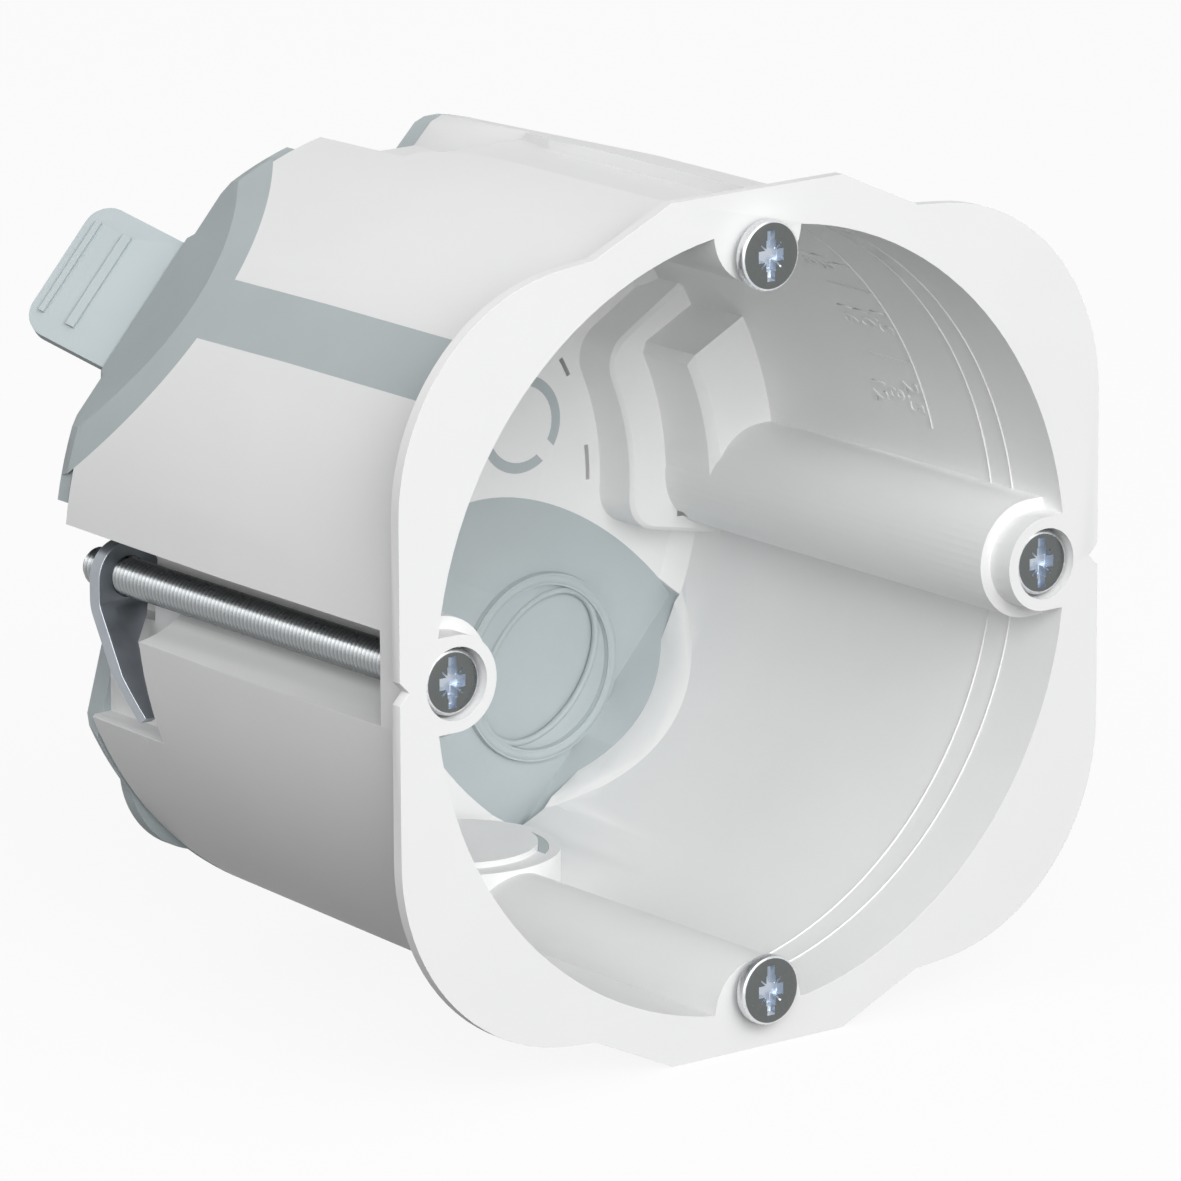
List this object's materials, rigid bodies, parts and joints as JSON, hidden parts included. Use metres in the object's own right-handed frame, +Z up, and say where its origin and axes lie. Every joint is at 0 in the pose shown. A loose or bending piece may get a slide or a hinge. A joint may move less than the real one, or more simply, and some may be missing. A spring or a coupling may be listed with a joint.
{
  "type": "round back box",
  "caption": "Round back box for a hollow wall, with a lobed flange, clamping claws, device screws and soft cable entries.",
  "frame": {"origin": "on the box's axis, in the plane where the back of the flange lies on the board", "axes": "+Y along the axis, from the mouth into the wall; +Z up, from the lower device screw to the upper one; +X to the right seen from in front"},
  "size_m": [0.071, 0.0619, 0.0702],
  "materials": {
    "body_plastic": "light grey, fine moulded grain",
    "soft_seal": "soft grey-green moulding, matt",
    "plated_screw": "zinc plated, bright",
    "plated_claw": "zinc plated sheet, slightly blue"
  },
  "bodies": {
    "box": {"box_body": "body_plastic", "entry_seal_upper_left": "soft_seal", "entry_seal_lower_right": "soft_seal", "back_seal_upper_right": "soft_seal", "back_seal_lower_left": "soft_seal", "knockout_seal_top": "soft_seal", "knockout_seal_bottom": "soft_seal"},
    "clamp_screw_left": {"clamp_screw_left": "plated_screw"},
    "clamp_screw_right": {"clamp_screw_right": "plated_screw"},
    "claw_left": {"claw_left": "plated_claw"},
    "claw_right": {"claw_right": "plated_claw"},
    "device_screw_top": {"device_screw_top": "plated_screw"},
    "device_screw_bottom": {"device_screw_bottom": "plated_screw"}
  },
  "joints": [
    {"name": "clamp_screw_left_turn", "type": "hinge", "parent": "box", "child": "clamp_screw_left", "pos_m": [-0.03, 0, 0], "axis": [0, 1, 0], "continuous": true},
    {"name": "clamp_screw_right_turn", "type": "hinge", "parent": "box", "child": "clamp_screw_right", "pos_m": [0.03, 0, 0], "axis": [0, 1, 0], "continuous": true},
    {"name": "claw_left_swing", "type": "hinge", "parent": "box", "child": "claw_left", "pos_m": [-0.03, 0.0433, 0], "axis": [0, 1, 0], "range_deg": [0, 90]},
    {"name": "claw_right_swing", "type": "hinge", "parent": "box", "child": "claw_right", "pos_m": [0.03, 0.0433, 0], "axis": [0, 1, 0], "range_deg": [0, 90]},
    {"name": "device_screw_top_travel", "type": "slide", "parent": "box", "child": "device_screw_top", "axis": [0, -1, 0], "range_m": [-0.0007, 0.012]},
    {"name": "device_screw_bottom_travel", "type": "slide", "parent": "box", "child": "device_screw_bottom", "axis": [0, -1, 0], "range_m": [-0.0007, 0.012]}
  ]
}
